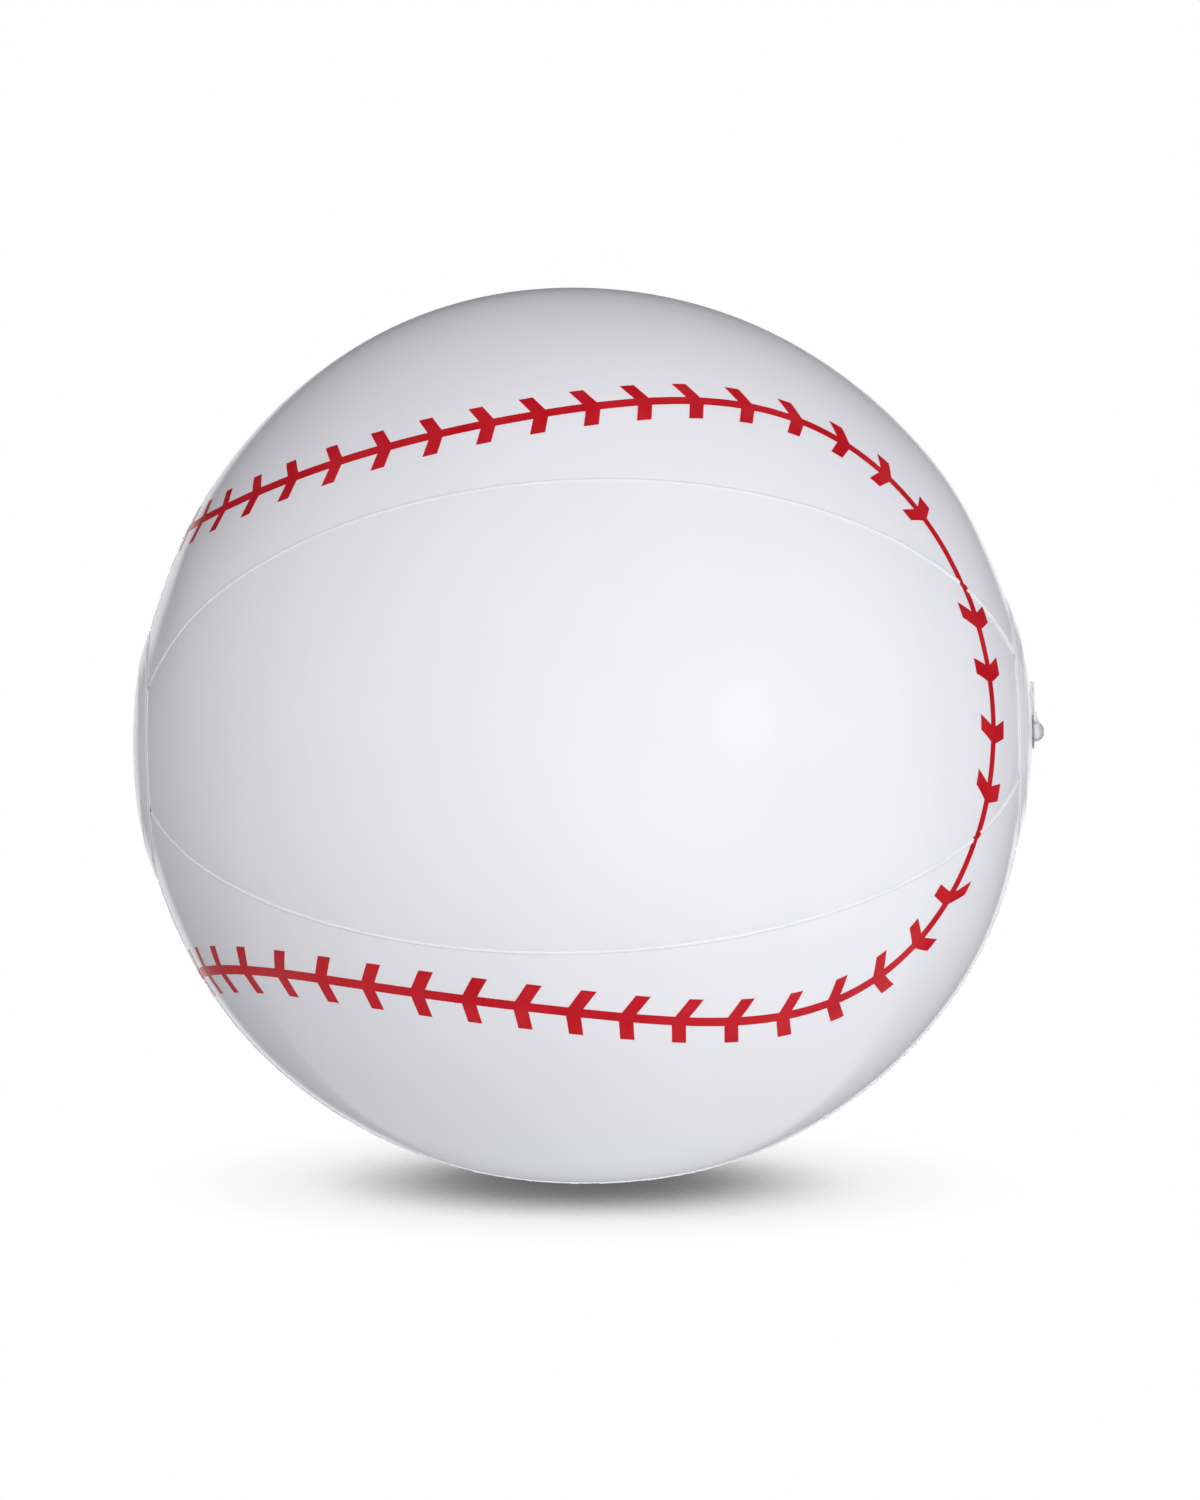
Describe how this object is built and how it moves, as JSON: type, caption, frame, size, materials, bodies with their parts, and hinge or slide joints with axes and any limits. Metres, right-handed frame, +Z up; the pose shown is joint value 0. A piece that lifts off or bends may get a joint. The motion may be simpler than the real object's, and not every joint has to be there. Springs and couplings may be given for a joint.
{
  "type": "beach ball",
  "caption": "Inflatable round beach ball of welded white film panels and end caps, printed with red stitching, with a sunk push-in valve and a strapped stopper.",
  "frame": {"origin": "centre of the flat patch on which the ball stands", "axes": "+X along the ball's axis towards the valve, +Z up, -Y towards the viewer of the picture"},
  "size_m": [0.3047, 0.3, 0.299],
  "materials": {
    "white_vinyl": "gloss",
    "clear_vinyl": "soft clear gloss"
  },
  "bodies": {
    "ball": {"gore_1": "white_vinyl", "gore_2": "white_vinyl", "gore_3": "white_vinyl", "gore_4": "white_vinyl", "gore_5": "white_vinyl", "gore_6": "white_vinyl", "plain_end_cap": "white_vinyl", "valve_end_cap": "white_vinyl", "valve_flange": "clear_vinyl", "valve_web": "clear_vinyl"},
    "stem": {"valve_stem": "clear_vinyl", "strap_root": "clear_vinyl"},
    "flap": {"check_flap": "clear_vinyl"},
    "stopper": {"stopper": "clear_vinyl", "strap_tail": "clear_vinyl"}
  },
  "joints": [
    {"name": "stem_slide", "type": "slide", "parent": "ball", "child": "stem", "axis": [1, 0, 0], "range_m": [0, 0.01]},
    {"name": "stopper_hinge", "type": "hinge", "parent": "stem", "child": "stopper", "pos_m": [0.15102, 0, 0.16193], "axis": [0, -1, 0], "range_deg": [0, 165]},
    {"name": "flap_hinge", "type": "hinge", "parent": "stem", "child": "flap", "pos_m": [0.1345, 0, 0.14973], "axis": [0, 1, 0], "range_deg": [0, 70]}
  ]
}
